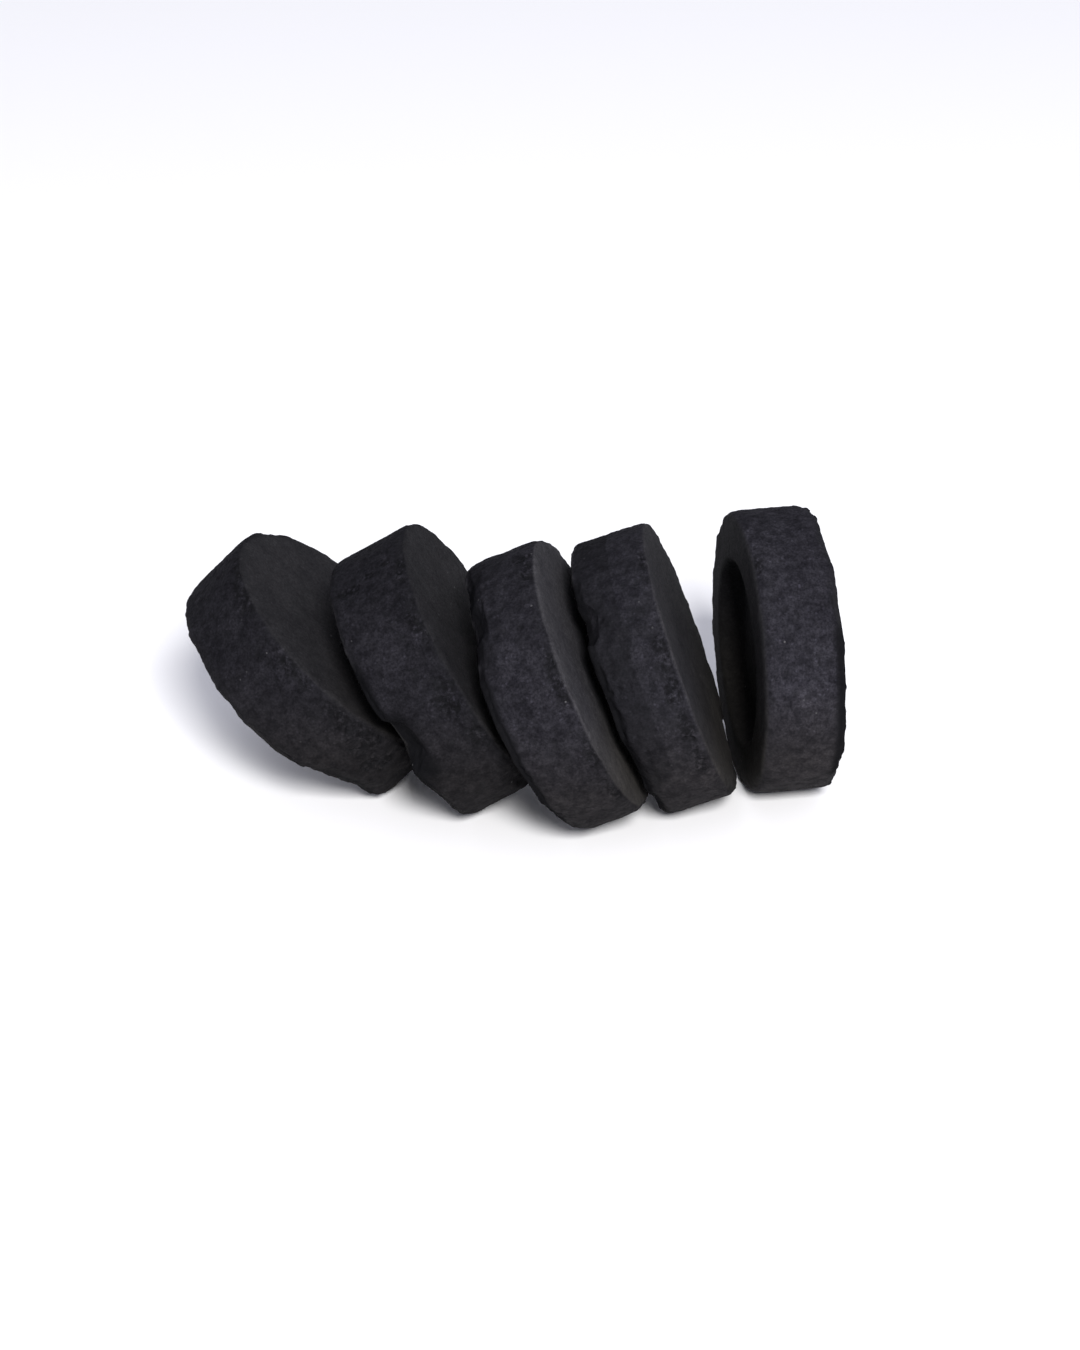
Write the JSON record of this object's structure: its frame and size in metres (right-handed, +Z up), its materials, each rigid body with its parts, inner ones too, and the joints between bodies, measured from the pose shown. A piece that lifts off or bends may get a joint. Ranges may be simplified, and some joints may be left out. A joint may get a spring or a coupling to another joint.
{
  "type": "row of charcoal tablets",
  "caption": "Row of round pressed charcoal tablets leaning on each other, each with a shallow dish in one face, a flat back and a gritty, chipped rim.",
  "frame": {"origin": "on the surface that the row stands on, under the middle of the row's box", "axes": "+X along the row, from the tablet that leans the most to the upright one; +Y away from the side that the picture shows; +Z up"},
  "size_m": [0.0916, 0.0528, 0.0403],
  "materials": {
    "charcoal": "matte pressed charcoal dust, gritty on the rim and smoother on the two faces"
  },
  "bodies": {
    "root": {"tablet_1": "charcoal", "tablet_2": "charcoal", "tablet_3": "charcoal", "tablet_4": "charcoal", "tablet_5": "charcoal"}
  },
  "joints": []
}
